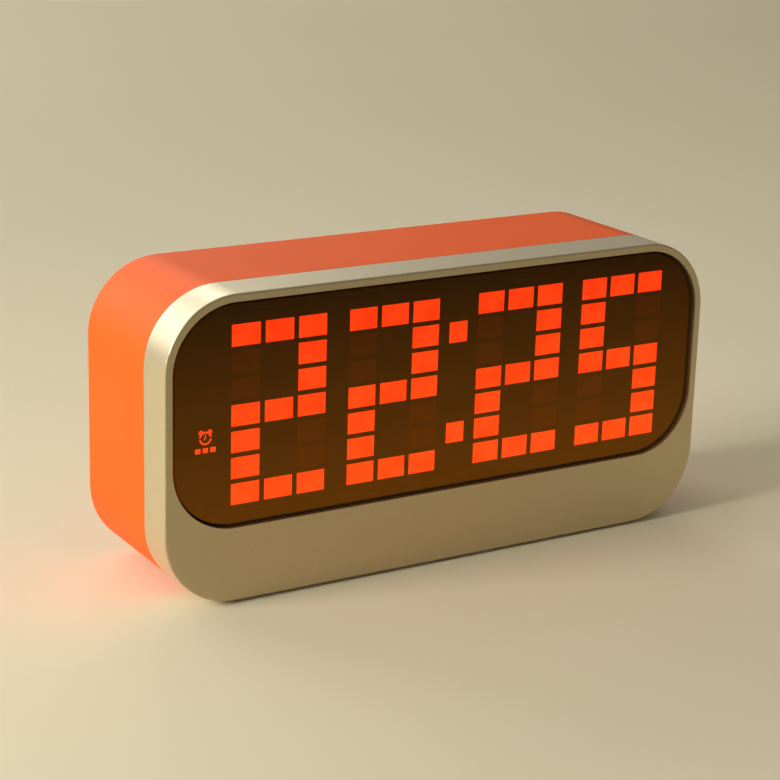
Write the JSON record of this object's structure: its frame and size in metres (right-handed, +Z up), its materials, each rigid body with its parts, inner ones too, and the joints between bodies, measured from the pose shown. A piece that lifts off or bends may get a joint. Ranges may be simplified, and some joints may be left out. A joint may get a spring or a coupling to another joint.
{
  "type": "digital desk clock",
  "caption": "Desk clock with red block digits behind a smoked lens, silver front frame, orange tapering rear shell, back keys and battery door.",
  "frame": {"origin": "on the table, under the middle of the clock's bounding box, at the underside of the rubber feet", "axes": "+X to the right as seen from the front, +Y to the back, so that the display faces -Y, and +Z up"},
  "size_m": [0.165, 0.0472, 0.0811],
  "materials": {
    "silver_paint": "satin silver paint with a fine metallic grain, on moulded plastic",
    "smoked_lens": "smoked transparent acrylic, polished",
    "orange_plastic": "matt orange moulded plastic with a fine grain",
    "orange_key": "matt orange moulded plastic",
    "black_plastic": "matt black moulded plastic",
    "black_foam": "black adhesive foam",
    "lit_cell": "milky plastic, lit red from behind",
    "dark_cell": "milky plastic, unlit",
    "circuit_board": "green solder mask on glass-fibre board",
    "chip_resin": "black moulded resin",
    "light_chip": "clear resin in a white chip",
    "zinc_steel": "bright zinc plating",
    "nickel": "bright nickel plating",
    "brass": "plain brass",
    "rubber": "soft black rubber",
    "cell_wrap": "plain shrink wrap over the cell, bare metal at the ends",
    "ribbon": "grey ribbon",
    "white_plastic": "white moulded plastic"
  },
  "bodies": {
    "case": {"front_frame": "silver_paint", "display_lens": "smoked_lens", "lens_adhesive": "black_foam", "display_carrier": "black_plastic", "colon_cells": "lit_cell", "alarm_indicator": "lit_cell", "display_board": "circuit_board", "light_chips": "light_chip", "display_drivers": "chip_resin", "carrier_screws": "zinc_steel", "rear_shell": "orange_plastic", "rubber_feet": "rubber", "case_screws": "zinc_steel", "battery_cells": "cell_wrap", "battery_contacts": "nickel", "battery_springs": "nickel", "main_board": "circuit_board", "main_board_screws": "zinc_steel", "controller_chip": "chip_resin", "timing_crystal": "nickel", "supply_capacitor": "cell_wrap", "key_switches": "black_plastic", "alarm_switch": "nickel", "sounder": "chip_resin", "power_inlet": "black_plastic", "inlet_pin": "brass", "ribbon_sockets": "white_plastic", "ribbon_cable": "ribbon", "hour_tens_lit_cells": "lit_cell", "hour_tens_dark_cells": "dark_cell", "hour_units_lit_cells": "lit_cell", "hour_units_dark_cells": "dark_cell", "minute_tens_lit_cells": "lit_cell", "minute_tens_dark_cells": "dark_cell", "minute_units_lit_cells": "lit_cell", "minute_units_dark_cells": "dark_cell"},
    "battery_door": {"battery_door": "orange_plastic"},
    "alarm_slider": {"alarm_knob": "black_plastic"},
    "set_key": {"set_button": "orange_key", "set_stem": "white_plastic"},
    "alarm_key": {"alarm_button": "orange_key", "alarm_stem": "white_plastic"},
    "down_key": {"down_button": "orange_key", "down_stem": "white_plastic"},
    "up_key": {"up_button": "orange_key", "up_stem": "white_plastic"},
    "snooze_key": {"snooze_button": "orange_key", "snooze_stem": "white_plastic"}
  },
  "joints": [
    {"name": "battery_door_swing", "type": "hinge", "parent": "case", "child": "battery_door", "pos_m": [-0.03601, 0.02285, 0.01905], "axis": [-1, 0, 0], "range_deg": [0, 60]},
    {"name": "alarm_switch_slide", "type": "slide", "parent": "case", "child": "alarm_slider", "axis": [1, 0, 0], "range_m": [0, 0.0025]},
    {"name": "set_button_press", "type": "slide", "parent": "case", "child": "set_key", "axis": [0, -1, 0], "range_m": [0, 0.0005], "stiffness_N_per_m": 2400, "springref_m": -0.0001},
    {"name": "alarm_button_press", "type": "slide", "parent": "case", "child": "alarm_key", "axis": [0, -1, 0], "range_m": [0, 0.0005], "stiffness_N_per_m": 2400, "springref_m": -0.0001},
    {"name": "down_button_press", "type": "slide", "parent": "case", "child": "down_key", "axis": [0, -1, 0], "range_m": [0, 0.0005], "stiffness_N_per_m": 2400, "springref_m": -0.0001},
    {"name": "up_button_press", "type": "slide", "parent": "case", "child": "up_key", "axis": [0, -1, 0], "range_m": [0, 0.0005], "stiffness_N_per_m": 2400, "springref_m": -0.0001},
    {"name": "snooze_button_press", "type": "slide", "parent": "case", "child": "snooze_key", "axis": [0, -1, 0], "range_m": [0, 0.0005], "stiffness_N_per_m": 2400, "springref_m": -0.0001}
  ]
}
